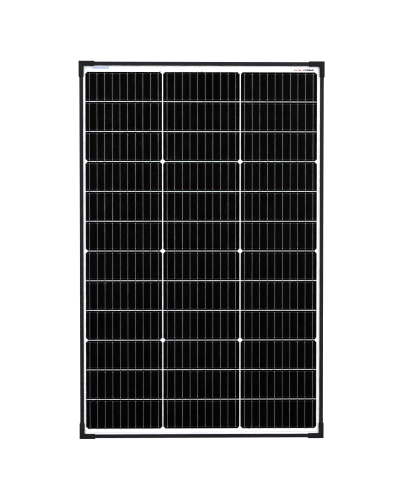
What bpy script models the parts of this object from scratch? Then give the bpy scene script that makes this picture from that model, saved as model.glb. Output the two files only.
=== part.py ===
"""A small framed solar panel with 36 third-cut cells, slip-on corner guards and a junction box.

The panel stands upright. X runs to the right, Y into the panel from its front face, and Z up.
The origin is the centre of the whole panel. Depths are measured from the frame's front face.
"""

import math

import bmesh
import bpy
from mathutils import Matrix, Vector

MM = 0.001

# Frame, over its four rails
WIDTH = 580 * MM
HEIGHT = 895 * MM
DEPTH = 30 * MM

# Rail section: a front lip, a groove for the laminate, a closed chamber and a rear flange
RAIL_WALL = 1.5 * MM
INNER_WALL = 1.3 * MM
LIP_WIDTH = 9 * MM
GROOVE_DEPTH = 6.3 * MM
FLANGE_WIDTH = 25 * MM
LIP_RADIUS = 0.8 * MM
FLANGE_RADIUS = 0.5 * MM
MITRE_GAP = 0.1 * MM
CHAMBER_FRONT = RAIL_WALL + GROOVE_DEPTH + INNER_WALL
CHAMBER_SIDE = LIP_WIDTH - INNER_WALL

# Holes through the rear flange
SLOT_WIDTH = 9 * MM
SLOT_LENGTH = 14 * MM
SLOT_INSET = 16.5 * MM
SLOT_HEIGHTS = (-225 * MM, 225 * MM)
GROUND_HOLE_RADIUS = 2 * MM
GROUND_HOLE_OFFSET = 25 * MM
DRAIN_WIDTH = 3 * MM
DRAIN_LENGTH = 12 * MM
DRAIN_FROM_END = 70 * MM

# Corner keys inside the chambers, and the guards pushed over the corners
KEY_ARM = 33 * MM
KEY_PLAY = 0.15 * MM
KEY_NOTCHES = 3
KEY_NOTCH_PITCH = 6 * MM
KEY_NOTCH_WIDTH = 2 * MM
KEY_NOTCH_DEPTH = 0.8 * MM
GUARD_PROUD = 1.7 * MM
GUARD_ARM = 38 * MM
GUARD_WIDTH = 12.4 * MM
GUARD_PLAY = 0.1 * MM
GUARD_BEVEL = 0.8 * MM

# Laminate outlines, as distances in from the rails' outer faces
SEAL_OUTER = 1.6 * MM
SEAL_POCKET = 2.9 * MM
SEAL_INNER = 8.6 * MM
GLASS_INSET = 3.0 * MM
FILM_INSET = 3.5 * MM

# Depths of each layer's front and rear faces
LAYERS = {
    "seal": (1.60 * MM, 7.70 * MM),
    "seal_pocket": (2.00 * MM, 7.35 * MM),
    "glass": (2.10 * MM, 5.30 * MM),
    "front_film": (5.35 * MM, 5.65 * MM),
    "print": (5.68 * MM, 5.74 * MM),
    "cover": (5.78 * MM, 5.86 * MM),
    "ribbon": (5.90 * MM, 6.10 * MM),
    "cell": (6.05 * MM, 6.25 * MM),
    "bus": (6.15 * MM, 6.40 * MM),
    "insulation": (6.30 * MM, 6.40 * MM),
    "lead": (6.45 * MM, 6.65 * MM),
    "rear_film": (6.70 * MM, 7.00 * MM),
    "backsheet": (7.03 * MM, 7.28 * MM),
    "label": (7.35 * MM, 7.50 * MM),
    "pad": (7.35 * MM, 8.25 * MM),
}

# Cells: three strings of twelve, each cell a third of a 182 x 210 mm wafer
COLUMNS = 3
ROWS = 12
CELL_WIDTH = 182.3 * MM
CELL_HEIGHT = 69.8 * MM
COLUMN_GAP = 2.2 * MM
ROW_GAP = 1.2 * MM
CELL_CHAMFER = 5 * MM
BLOCK_X = -0.9 * MM
BLOCK_Z = -1.0 * MM
RIBBONS = 10
RIBBON_WIDTH = 0.9 * MM
RIBBON_PITCH = 18.15 * MM
RIBBON_OVERRUN = 7.5 * MM
BUS_WIDTH = 5 * MM
BUS_FROM_CELLS = 3 * MM
COVER_FROM_CELLS = 1.5 * MM
COVER_WIDTH = 6.5 * MM
LEAD_WIDTH = 5 * MM
LEAD_TAB_THICKNESS = 0.25 * MM
RETURN_X = 112 * MM
START_LEAD_X = -99 * MM
INSULATION_MARGIN = 4 * MM

# Small prints behind the glass, and the label on the back
SERIAL_SIZE = (39.4 * MM, 6.4 * MM)
SERIAL_INSET = (30.1 * MM, 11.0 * MM)
MARK_SIZE = (46.9 * MM, 4.6 * MM)
MARK_INSET = (23.7 * MM, 15.8 * MM)
RATING_SIZE = (100 * MM, 70 * MM)
RATING_Z = 215 * MM

# Junction box
BOX_WIDTH = 108 * MM
BOX_HEIGHT = 90 * MM
BOX_Z = 335 * MM
BOX_CORNER = 5 * MM
BOX_WALL = 2 * MM
BOX_FRONT = 8.3 * MM
BOX_RIM = 23.3 * MM
BOX_LOW_Z = BOX_Z - BOX_HEIGHT / 2
BOX_TOP_Z = BOX_Z + BOX_HEIGHT / 2
PAD_INSET = 3 * MM
GASKET_DEPTHS = (23.4 * MM, 24.5 * MM)
GASKET_INSETS = (0.3 * MM, 1.7 * MM)
LID_DEPTHS = (24.6 * MM, 27.5 * MM)
LID_LIP_FRONT = 21 * MM
LID_LIP_INSETS = (2.4 * MM, 3.6 * MM)
LID_BEVEL = 0.8 * MM
SLIT_WIDTH = 66 * MM
SLIT_LOW_Z = 337 * MM
SLIT_HIGH_Z = 345 * MM

# Hinge along the box's top edge: pins on the box, hooks on the lid
HINGE_DEPTH = 26.1 * MM
HINGE_Z = 383.5 * MM
PIN_RADIUS = 1.5 * MM
PIN_END_X = 28 * MM
LUG_X = (36 * MM, 40 * MM)
LUG_FOOT_DEPTHS = (15 * MM, 22.5 * MM)
LUG_SLOPE_DEPTH = 21 * MM
LUG_STEP = 1.2 * MM
LUG_CROWN = 2.6 * MM
LUG_REAR = 1.9 * MM
HOOK_X = (29 * MM, 35 * MM)
HOOK_INNER = 1.8 * MM
HOOK_OUTER = 3.1 * MM
HOOK_MOUTH = math.radians(80)
LID_OVERLAP = 2 * MM

# Snap tongues along the box's lower edge
TONGUE_X = 46 * MM
TONGUE_WIDTH = 8 * MM
TONGUE_Z = (288.2 * MM, 289.6 * MM)
TONGUE_FRONT = 15.5 * MM
WINDOW_WIDTH = 5 * MM
WINDOW_DEPTHS = (17.6 * MM, 20.6 * MM)
WINDOW_OVERCUT = 1 * MM
DETENT_WIDTH = 4 * MM
DETENT_DEPTHS = (18.2 * MM, 19.8 * MM)
DETENT_HEIGHT = 0.3 * MM

# Cable glands, pointing down from the box's lower wall; heights are below that wall
GLAND_X = 28 * MM
GLAND_DEPTH = 17.3 * MM
ROUND_SIDES = 24
SPIGOT_RADIUS = 6 * MM
SPIGOT_LENGTH = 10 * MM
SPIGOT_BORE = 5 * MM
SPIGOT_BORE_DEPTH = 8.5 * MM
CABLE_BORE = 3.6 * MM
SEAL_RADII = (3.2 * MM, 4.9 * MM)
SEAL_DROPS = (1.7 * MM, 9.9 * MM)
WASHER_RADII = (3.5 * MM, 5.9 * MM)
WASHER_DROPS = (10.3 * MM, 11.3 * MM)
NUT_ACROSS_FLATS = 15.5 * MM
NUT_BORE = 6.2 * MM
NUT_DROPS = (0.8 * MM, 8 * MM)
DOME_BORE = 6.6 * MM
DOME_TOP_DROP = 6.5 * MM
DOME_FLOOR_DROP = 11.4 * MM
DOME_SHOULDER_DROP = 10.4 * MM
DOME_END_DROP = 16 * MM
DOME_RADII = (7.4 * MM, 4.8 * MM)
NUT_CABLE_HOLE = 3.4 * MM

# Terminals and bypass diodes on the box's floor
TERMINAL_XS = (-25 * MM, 0.0, 25 * MM)
TERMINAL_WIDTH = 12 * MM
TERMINAL_Z = (312 * MM, 337.9 * MM)
TERMINAL_DEPTHS = (10.6 * MM, 12.4 * MM)
UPRIGHT_REAR = 17.5 * MM
UPRIGHT_THICKNESS = 2 * MM
TAB_Z = 338.3 * MM
TAB_REAR = 15 * MM
CLAMP_SCREW_Z = 320 * MM
CLAMP_SCREW_RADIUS = 2.5 * MM
CLAMP_SCREW_REAR = 15.2 * MM
CROSS_SLOT_DEPTH = 1 * MM
CROSS_SLOT_REACH = 1.8 * MM
CROSS_SLOT_HALF = 0.35 * MM
DIODE_RADIUS = 2.3 * MM
DIODE_LENGTH = 9 * MM
DIODE_LEAD_RADIUS = 0.5 * MM
DIODE_REACH = 9.5 * MM
DIODE_Z = 329 * MM
DIODE_DEPTH = 14.9 * MM
CLEAR = 0.3 * MM

# Colour, roughness and metallic value of each material
MATERIALS = {
    "black_anodised": ((0.012, 0.012, 0.019), 0.38, 1.0),
    "key_aluminium": ((0.55, 0.56, 0.58), 0.45, 1.0),
    "guard_plastic": ((0.010, 0.010, 0.011), 0.42, 0.0),
    "seal_rubber": ((0.020, 0.020, 0.021), 0.80, 0.0),
    "clear_glass": ((0.85, 0.92, 0.90), 0.04, 0.0),
    "clear_film": ((0.88, 0.90, 0.90), 0.30, 0.0),
    "white_backsheet": ((0.86, 0.87, 0.88), 0.55, 0.0),
    "silicon_cell": ((0.004, 0.004, 0.007), 0.25, 0.0),
    "tinned_copper": ((0.55, 0.55, 0.56), 0.35, 1.0),
    "insulation_film": ((0.80, 0.81, 0.82), 0.50, 0.0),
    "blank_label": ((0.50, 0.54, 0.72), 0.50, 0.0),
    "grey_print": ((0.20, 0.21, 0.23), 0.55, 0.0),
    "white_label": ((0.80, 0.80, 0.80), 0.45, 0.0),
    "foam_tape": ((0.05, 0.05, 0.05), 0.90, 0.0),
    "box_plastic": ((0.014, 0.014, 0.015), 0.45, 0.0),
    "gland_plastic": ((0.020, 0.020, 0.021), 0.50, 0.0),
    "brass_nickel": ((0.60, 0.57, 0.50), 0.30, 1.0),
    "screw_steel": ((0.52, 0.52, 0.53), 0.35, 1.0),
    "diode_epoxy": ((0.020, 0.020, 0.020), 0.40, 0.0),
}


def to_y(depth):
    """The Y of a depth behind the frame's front face."""
    return depth - DEPTH / 2


# ---- Modelling helpers ----


def clear_scene():
    for thing in list(bpy.data.objects):
        bpy.data.objects.remove(thing, do_unlink=True)


def make_collection(name):
    collection = bpy.data.collections.new(name)
    bpy.context.scene.collection.children.link(collection)
    return collection


def make_material(name, colour, roughness, metallic):
    material = bpy.data.materials.new(name)
    material.use_nodes = True
    shader = material.node_tree.nodes["Principled BSDF"]
    shader.inputs["Base Color"].default_value = (*colour, 1.0)
    shader.inputs["Roughness"].default_value = roughness
    shader.inputs["Metallic"].default_value = metallic
    return material


clear_scene()
PANEL = make_collection("solar_panel")
CUTTERS = make_collection("cutters")
PAINTS = {name: make_material(name, *values) for name, values in MATERIALS.items()}


def add_object(name, mesh, matrix=None):
    """Put a mesh in the scene as a new cutter; keep() turns it into a part."""
    thing = bpy.data.objects.new(name, mesh)
    thing.matrix_world = matrix or Matrix.Identity(4)
    thing.hide_render = True
    thing.display_type = "WIRE"
    CUTTERS.objects.link(thing)
    return thing


def keep(thing, name, paint, smooth=False):
    """Make an object one of the panel's parts."""
    CUTTERS.objects.unlink(thing)
    PANEL.objects.link(thing)
    thing.name = name
    thing.data.name = name
    thing.hide_render = False
    thing.display_type = "TEXTURED"
    thing.data.materials.clear()
    thing.data.materials.append(PAINTS[paint])
    if smooth:
        thing.data.shade_smooth()
        thing.data.set_sharp_from_angle(angle=math.radians(35))
    return thing


def prism(loops, length, matrix):
    """A flat outline, with any holes, drawn in a plane and given a thickness about it."""
    curve = bpy.data.curves.new("outline", "CURVE")
    curve.dimensions = "2D"
    curve.fill_mode = "BOTH"
    curve.extrude = length / 2
    for loop in loops:
        spline = curve.splines.new("POLY")
        spline.points.add(len(loop) - 1)
        for point, (x, y) in zip(spline.points, loop):
            point.co = (x, y, 0, 1)
        spline.use_cyclic_u = True
    drawn = bpy.data.objects.new("outline", curve)
    bpy.context.scene.collection.objects.link(drawn)
    evaluated = drawn.evaluated_get(bpy.context.evaluated_depsgraph_get())
    mesh = bpy.data.meshes.new_from_object(evaluated)
    bpy.data.objects.remove(drawn, do_unlink=True)
    weld = bmesh.new()
    weld.from_mesh(mesh)
    bmesh.ops.remove_doubles(weld, verts=weld.verts, dist=0.001 * MM)
    bmesh.ops.recalc_face_normals(weld, faces=weld.faces)
    weld.to_mesh(mesh)
    weld.free()
    return add_object("outline", mesh, matrix)


def plate(loops, depths):
    """A prism whose outline lies in the panel's XZ plane, between two depths."""
    front, rear = depths
    across = Matrix(((1, 0, 0), (0, 0, -1), (0, 1, 0))).to_4x4()
    middle = Matrix.Translation((0, to_y((front + rear) / 2), 0))
    return prism(loops, rear - front, middle @ across)


def side_prism(loop, x_low, x_high):
    """A prism along X, from an outline of (depth, Z) points."""
    across = Matrix(((0, 0, 1), (1, 0, 0), (0, 1, 0))).to_4x4()
    points = [(to_y(depth), z) for depth, z in loop]
    return prism([points], x_high - x_low, Matrix.Translation(((x_low + x_high) / 2, 0, 0)) @ across)


def block(low, high):
    """A box between two corners, each (x, depth, z)."""
    cube = bmesh.new()
    bmesh.ops.create_cube(cube, size=1)
    low = Vector((low[0], to_y(low[1]), low[2]))
    high = Vector((high[0], to_y(high[1]), high[2]))
    bmesh.ops.scale(cube, vec=high - low, verts=cube.verts)
    bmesh.ops.translate(cube, vec=(low + high) / 2, verts=cube.verts)
    mesh = bpy.data.meshes.new("block")
    cube.to_mesh(mesh)
    cube.free()
    return add_object("block", mesh)


def cylinder(radius, centre, axis, length, sides=ROUND_SIDES):
    """A round bar about a centre (x, depth, z) along the named axis."""
    turns = {
        "X": Matrix.Rotation(math.radians(90), 4, "Y"),
        "Y": Matrix.Rotation(math.radians(90), 4, "X"),
        "Z": Matrix.Identity(4),
    }
    bar = bmesh.new()
    bmesh.ops.create_cone(
        bar,
        cap_ends=True,
        segments=sides,
        radius1=radius,
        radius2=radius,
        depth=length,
    )
    mesh = bpy.data.meshes.new("cylinder")
    bar.to_mesh(mesh)
    bar.free()
    place = Matrix.Translation((centre[0], to_y(centre[1]), centre[2]))
    return add_object("cylinder", mesh, place @ turns[axis])


def turned(profile, place, sides=ROUND_SIDES):
    """A ring turned about Z from a closed profile of (radius, Z), outer side first, top to bottom."""
    mesh = bpy.data.meshes.new("turned")
    count = len(profile)
    points = [(radius, 0, z) for radius, z in profile]
    mesh.from_pydata(points, [(i, (i + 1) % count) for i in range(count)], [])
    ring = add_object("turned", mesh, Matrix.Translation(place))
    screw = ring.modifiers.new("Screw", "SCREW")
    screw.axis = "Z"
    screw.angle = math.radians(360)
    screw.steps = screw.render_steps = sides
    screw.use_merge_vertices = True
    screw.merge_threshold = 0.01 * MM
    return ring


def combine(target, operation, *operands):
    """Cut operands from a target, or join them to it."""
    for operand in operands:
        boolean = target.modifiers.new("Boolean", "BOOLEAN")
        boolean.operation = operation
        boolean.solver = "EXACT"
        boolean.object = operand
    return target


def bevel(thing, width, segments=2):
    rounding = thing.modifiers.new("Bevel", "BEVEL")
    rounding.width = width
    rounding.segments = segments
    rounding.limit_method = "ANGLE"
    rounding.angle_limit = math.radians(40)
    return thing


# ---- Outlines ----


def rectangle(x_low, x_high, y_low, y_high):
    return [(x_low, y_low), (x_high, y_low), (x_high, y_high), (x_low, y_high)]


def inset_rectangle(inset):
    """The frame's outline, moved in by a distance."""
    x, z = WIDTH / 2 - inset, HEIGHT / 2 - inset
    return rectangle(-x, x, -z, z)


def rounded(corners, steps=3):
    """A loop from corners (x, y, radius), each radius an arc."""
    loop = []
    for i, (x, y, radius) in enumerate(corners):
        corner = Vector((x, y))
        if not radius:
            loop.append((x, y))
            continue
        back = (Vector(corners[i - 1][:2]) - corner).normalized()
        ahead = (Vector(corners[(i + 1) % len(corners)][:2]) - corner).normalized()
        half = back.angle(ahead) / 2
        centre = corner + (back + ahead).normalized() * (radius / math.sin(half))
        first = corner + back * (radius / math.tan(half)) - centre
        last = corner + ahead * (radius / math.tan(half)) - centre
        for step in range(steps + 1):
            spoke = first.lerp(last, step / steps).normalized() * radius
            loop.append(tuple(centre + spoke))
    return loop


def rounded_rectangle(x_low, x_high, y_low, y_high, radius, steps=3):
    corners = rectangle(x_low, x_high, y_low, y_high)
    return rounded([(x, y, radius) for x, y in corners], steps)


def arc(centre, radius, start, end, steps):
    angles = [start + (end - start) * step / steps for step in range(steps + 1)]
    return [(centre[0] + radius * math.cos(a), centre[1] + radius * math.sin(a)) for a in angles]


def obround(x, y, width, length, upright):
    """A slot outline about a point, its length along Y if upright, or along X."""
    straight = (length - width) / 2
    turn = math.radians(90) if upright else 0.0
    shift = Vector((0, straight)) if upright else Vector((straight, 0))
    quarter = math.radians(90)
    far = arc((x + shift.x, y + shift.y), width / 2, turn - quarter, turn + quarter, 8)
    near = arc((x - shift.x, y - shift.y), width / 2, turn + quarter, turn + 3 * quarter, 8)
    return far + near


# ---- Frame ----


def rail_loops():
    """The rail's section: (distance in from its outer face, depth), then its chamber."""
    outer = [
        (0, 0, LIP_RADIUS),
        (LIP_WIDTH, 0, FLANGE_RADIUS),
        (LIP_WIDTH, RAIL_WALL, 0),
        (RAIL_WALL, RAIL_WALL, 0),
        (RAIL_WALL, RAIL_WALL + GROOVE_DEPTH, 0),
        (LIP_WIDTH, RAIL_WALL + GROOVE_DEPTH, 0),
        (LIP_WIDTH, DEPTH - RAIL_WALL, 0),
        (FLANGE_WIDTH, DEPTH - RAIL_WALL, FLANGE_RADIUS),
        (FLANGE_WIDTH, DEPTH, FLANGE_RADIUS),
        (0, DEPTH, FLANGE_RADIUS),
    ]
    chamber = rectangle(RAIL_WALL, CHAMBER_SIDE, CHAMBER_FRONT, DEPTH - RAIL_WALL)
    return [rounded(outer, steps=2), chamber]


def make_rail(name, side, cutters):
    """An aluminium rail with mitred ends; side is the outward direction as (x, z)."""
    out_x, out_z = side
    length = HEIGHT if out_x else WIDTH
    inward = Vector((-out_x, 0, -out_z))
    rearward = Vector((0, 1, 0))
    along = inward.cross(rearward)
    edge = Vector((out_x * WIDTH / 2, to_y(0), out_z * HEIGHT / 2))
    matrix = Matrix((inward, rearward, along)).transposed().to_4x4()
    rail = prism(rail_loops(), length, Matrix.Translation(edge) @ matrix)
    for vertex in rail.data.vertices:
        half = length / 2 - vertex.co.x - MITRE_GAP
        vertex.co.z = math.copysign(half, vertex.co.z)
    combine(rail, "DIFFERENCE", *cutters)
    return keep(rail, name, "black_anodised")


def make_frame():
    through = (DEPTH - 2 * RAIL_WALL, DEPTH + RAIL_WALL)
    for name, sign in (("frame_rail_left", -1), ("frame_rail_right", 1)):
        x = sign * (WIDTH / 2 - SLOT_INSET)
        slots = [plate([obround(x, z, SLOT_WIDTH, SLOT_LENGTH, True)], through) for z in SLOT_HEIGHTS]
        ground = cylinder(GROUND_HOLE_RADIUS, (x, DEPTH, GROUND_HOLE_OFFSET), "Y", 4 * RAIL_WALL, 16)
        make_rail(name, (sign, 0), slots + [ground])
    for name, sign in (("frame_rail_bottom", -1), ("frame_rail_top", 1)):
        z = sign * (HEIGHT / 2 - SLOT_INSET)
        x = WIDTH / 2 - DRAIN_FROM_END
        drains = [plate([obround(s * x, z, DRAIN_WIDTH, DRAIN_LENGTH, False)], through) for s in (-1, 1)]
        make_rail(name, (0, sign), drains)


def at_corner(loop, sign_x, sign_z):
    """Turn points measured in from a frame corner into panel points."""
    return [(sign_x * (WIDTH / 2 - x), sign_z * (HEIGHT / 2 - z)) for x, z in loop]


def key_loop():
    """An L along both chambers, with notches that bite where the corner is crimped."""
    low = RAIL_WALL + KEY_PLAY
    high = CHAMBER_SIDE - KEY_PLAY
    arm = []
    for i in range(KEY_NOTCHES):
        start = high + KEY_NOTCH_PITCH * (i + 1)
        end = start + KEY_NOTCH_WIDTH
        deep = high - KEY_NOTCH_DEPTH
        arm += [(start, high), (start, deep), (end, deep), (end, high)]
    along_x = [(low, low), (KEY_ARM, low), (KEY_ARM, high)] + arm[::-1]
    along_z = [(z, x) for x, z in arm] + [(high, KEY_ARM), (low, KEY_ARM)]
    return along_x + [(high, high)] + along_z


def guard_loop():
    """The L that a corner guard covers, in from the frame's corner."""
    low, high = -GUARD_PROUD, GUARD_WIDTH - GUARD_PROUD
    end = GUARD_ARM - GUARD_PROUD
    return [(low, low), (end, low), (end, high), (high, high), (high, end), (low, end)]


def make_corners():
    corners = {"top_left": (-1, 1), "top_right": (1, 1), "bottom_left": (-1, -1), "bottom_right": (1, -1)}
    for name, signs in corners.items():
        key_depths = (CHAMBER_FRONT + KEY_PLAY, DEPTH - RAIL_WALL - KEY_PLAY)
        key = plate([at_corner(key_loop(), *signs)], key_depths)
        keep(key, f"corner_key_{name}", "key_aluminium")
        guard = plate([at_corner(guard_loop(), *signs)], (-GUARD_PROUD, DEPTH + GUARD_PROUD))
        bevel(guard, GUARD_BEVEL)
        room = rectangle(-GUARD_PLAY, 2 * GUARD_ARM, -GUARD_PLAY, 2 * GUARD_ARM)
        hollow = plate([at_corner(room, *signs)], (-GUARD_PLAY, DEPTH + GUARD_PLAY))
        combine(guard, "DIFFERENCE", hollow)
        keep(guard, f"corner_guard_{name}", "guard_plastic")


# ---- Laminate ----


def column_span(column):
    """The left and right edges of a column of cells."""
    width = COLUMNS * CELL_WIDTH + (COLUMNS - 1) * COLUMN_GAP
    left = BLOCK_X - width / 2 + column * (CELL_WIDTH + COLUMN_GAP)
    return left, left + CELL_WIDTH


def row_span(row):
    """The bottom and top edges of a row of cells, counted from the top."""
    height = ROWS * CELL_HEIGHT + (ROWS - 1) * ROW_GAP
    top = BLOCK_Z + height / 2 - row * (CELL_HEIGHT + ROW_GAP)
    return top - CELL_HEIGHT, top


CELLS_TOP = row_span(0)[1]
CELLS_BOTTOM = row_span(ROWS - 1)[0]


def cell_loop(column, row):
    """A third of a wafer: only the corners that were the wafer's own are chamfered."""
    left, right = column_span(column)
    bottom, top = row_span(row)
    low = CELL_CHAMFER if row % 3 == 2 else 0
    high = CELL_CHAMFER if row % 3 == 0 else 0
    corners = [
        (left + low, bottom),
        (right - low, bottom),
        (right, bottom + low),
        (right, top - high),
        (right - high, top),
        (left + high, top),
        (left, top - high),
        (left, bottom + low),
    ]
    return [point for i, point in enumerate(corners) if point != corners[i - 1]]


def ribbon_loops(column):
    """Ribbons down one column, from the upper bus ribbon to the lower one."""
    left, right = column_span(column)
    first = (left + right) / 2 - RIBBON_PITCH * (RIBBONS - 1) / 2
    half = RIBBON_WIDTH / 2
    centres = [first + RIBBON_PITCH * i for i in range(RIBBONS)]
    low, high = CELLS_BOTTOM - RIBBON_OVERRUN, CELLS_TOP + RIBBON_OVERRUN
    return [rectangle(x - half, x + half, low, high) for x in centres]


def make_strings():
    for column, side in enumerate(("left", "centre", "right")):
        cells = plate([cell_loop(column, row) for row in range(ROWS)], LAYERS["cell"])
        ribbons = plate(ribbon_loops(column), LAYERS["ribbon"])
        combine(cells, "UNION", ribbons)
        keep(cells, f"cell_string_{side}", "silicon_cell")


def make_buses():
    """Bus ribbons that put the three strings in series, and the white strips that hide them."""
    upper = CELLS_TOP + BUS_FROM_CELLS
    lower = CELLS_BOTTOM - BUS_FROM_CELLS - BUS_WIDTH
    spans = {
        "bus_ribbon_top_left": (0, 0, upper),
        "bus_ribbon_top_right": (1, 2, upper),
        "bus_ribbon_bottom_left": (0, 1, lower),
        "bus_ribbon_bottom_right": (2, 2, lower),
    }
    for name, (first, last, z) in spans.items():
        left, right = column_span(first)[0], column_span(last)[1]
        bus = plate([rectangle(left, right, z, z + BUS_WIDTH)], LAYERS["bus"])
        keep(bus, name, "tinned_copper")
    left, right = column_span(0)[0], column_span(COLUMNS - 1)[1]
    upper = CELLS_TOP + COVER_FROM_CELLS
    lower = CELLS_BOTTOM - COVER_FROM_CELLS - COVER_WIDTH
    for name, z in (("bus_cover_top", upper), ("bus_cover_bottom", lower)):
        cover = plate([rectangle(left, right, z, z + COVER_WIDTH)], LAYERS["cover"])
        keep(cover, name, "white_backsheet")


def make_lead(name, loop, x):
    """A flat lead behind the cells, with a tab that turns back into the junction box."""
    lead = plate([loop], LAYERS["lead"])
    half = LEAD_WIDTH / 2
    front = (LAYERS["lead"][0] + LAYERS["lead"][1]) / 2
    tab = block((x - half, front, TAB_Z), (x + half, TAB_REAR, TAB_Z + LEAD_TAB_THICKNESS))
    combine(lead, "UNION", tab)
    keep(lead, name, "tinned_copper")


def elbow(run_x, run_end, tab_x):
    """An L from a bus ribbon at run_end, along run_x, to the tab at tab_x."""
    half = LEAD_WIDTH / 2
    side = math.copysign(half, tab_x - run_x)
    end = math.copysign(half, tab_x - run_x) + tab_x
    away = math.copysign(half, run_end - TAB_Z)
    return [
        (run_x - side, run_end),
        (run_x + side, run_end),
        (run_x + side, TAB_Z + away),
        (end, TAB_Z + away),
        (end, TAB_Z - away),
        (run_x - side, TAB_Z - away),
    ]


def make_leads():
    upper = CELLS_TOP + BUS_FROM_CELLS + BUS_WIDTH
    lower = CELLS_BOTTOM - BUS_FROM_CELLS - BUS_WIDTH
    left, middle, right = TERMINAL_XS
    make_lead("lead_start", elbow(START_LEAD_X, upper, left), left)
    make_lead("lead_return", elbow(RETURN_X, lower, right), right)
    half = LEAD_WIDTH / 2
    make_lead("lead_tap", rectangle(middle - half, middle + half, TAB_Z - half, upper), middle)
    shield = LEAD_WIDTH / 2 + INSULATION_MARGIN
    strip = rectangle(RETURN_X - shield, RETURN_X + shield, CELLS_BOTTOM, TAB_Z + shield)
    keep(plate([strip], LAYERS["insulation"]), "insulation_strip", "insulation_film")
    patch = rectangle(START_LEAD_X - shield, RETURN_X - shield - CLEAR, TAB_Z - shield, CELLS_TOP)
    keep(plate([patch], LAYERS["insulation"]), "insulation_patch", "insulation_film")


def lead_slit():
    """Where the leads pass through the rear film, the backsheet and the box's floor."""
    return rectangle(-SLIT_WIDTH / 2, SLIT_WIDTH / 2, SLIT_LOW_Z, SLIT_HIGH_Z)


def make_laminate():
    keep(plate([inset_rectangle(GLASS_INSET)], LAYERS["glass"]), "front_glass", "clear_glass")
    keep(plate([inset_rectangle(FILM_INSET)], LAYERS["front_film"]), "front_encapsulant", "clear_film")
    rear = plate([inset_rectangle(FILM_INSET), lead_slit()], LAYERS["rear_film"])
    keep(rear, "rear_encapsulant", "insulation_film")
    sheet = plate([inset_rectangle(GLASS_INSET), lead_slit()], LAYERS["backsheet"])
    keep(sheet, "backsheet", "white_backsheet")
    seal = plate([inset_rectangle(SEAL_OUTER), inset_rectangle(SEAL_INNER)], LAYERS["seal"])
    pocket = plate([inset_rectangle(SEAL_POCKET)], LAYERS["seal_pocket"])
    combine(seal, "DIFFERENCE", pocket)
    keep(seal, "edge_seal", "seal_rubber")


def make_prints():
    left = -WIDTH / 2 + SERIAL_INSET[0]
    top = HEIGHT / 2 - SERIAL_INSET[1]
    serial = rectangle(left, left + SERIAL_SIZE[0], top - SERIAL_SIZE[1], top)
    keep(plate([serial], LAYERS["print"]), "serial_label", "blank_label")
    right = WIDTH / 2 - MARK_INSET[0]
    top = HEIGHT / 2 - MARK_INSET[1]
    mark = rounded_rectangle(right - MARK_SIZE[0], right, top - MARK_SIZE[1], top, MARK_SIZE[1] / 3)
    keep(plate([mark], LAYERS["print"]), "front_mark", "grey_print")
    half_x, half_z = RATING_SIZE[0] / 2, RATING_SIZE[1] / 2
    rating = rounded_rectangle(-half_x, half_x, RATING_Z - half_z, RATING_Z + half_z, 2 * MM)
    keep(plate([rating], LAYERS["label"]), "rating_label", "white_label")


# ---- Junction box ----


def box_loop(inset, steps=3):
    """The junction box's outline, moved in by a distance."""
    half = BOX_WIDTH / 2 - inset
    radius = BOX_CORNER - inset
    return rounded_rectangle(-half, half, BOX_LOW_Z + inset, BOX_TOP_Z - inset, radius, steps)


def lug_loop():
    """A hinge lug's (depth, Z) outline: it leaves the box's top wall and surrounds the pin."""
    foot_front, foot_rear = LUG_FOOT_DEPTHS
    inside = BOX_TOP_Z - BOX_WALL / 4
    step = BOX_TOP_Z + LUG_STEP
    crown = HINGE_Z + LUG_CROWN
    rear = HINGE_DEPTH + LUG_REAR
    return rounded(
        [
            (foot_front, inside, 0),
            (foot_rear, inside, 0),
            (foot_rear + 1 * MM, step, 0),
            (rear, step, 1 * MM),
            (rear, crown, 1.5 * MM),
            (LUG_SLOPE_DEPTH, crown, 1 * MM),
        ],
        steps=2,
    )


def hook_loop():
    """A lid hook's (depth, Z) outline: a C about the pin, open towards the front."""
    centre = (HINGE_DEPTH, HINGE_Z)
    start = math.pi + HOOK_MOUTH / 2
    end = 3 * math.pi - HOOK_MOUTH / 2
    return arc(centre, HOOK_OUTER, start, end, 14) + arc(centre, HOOK_INNER, end, start, 14)


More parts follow.
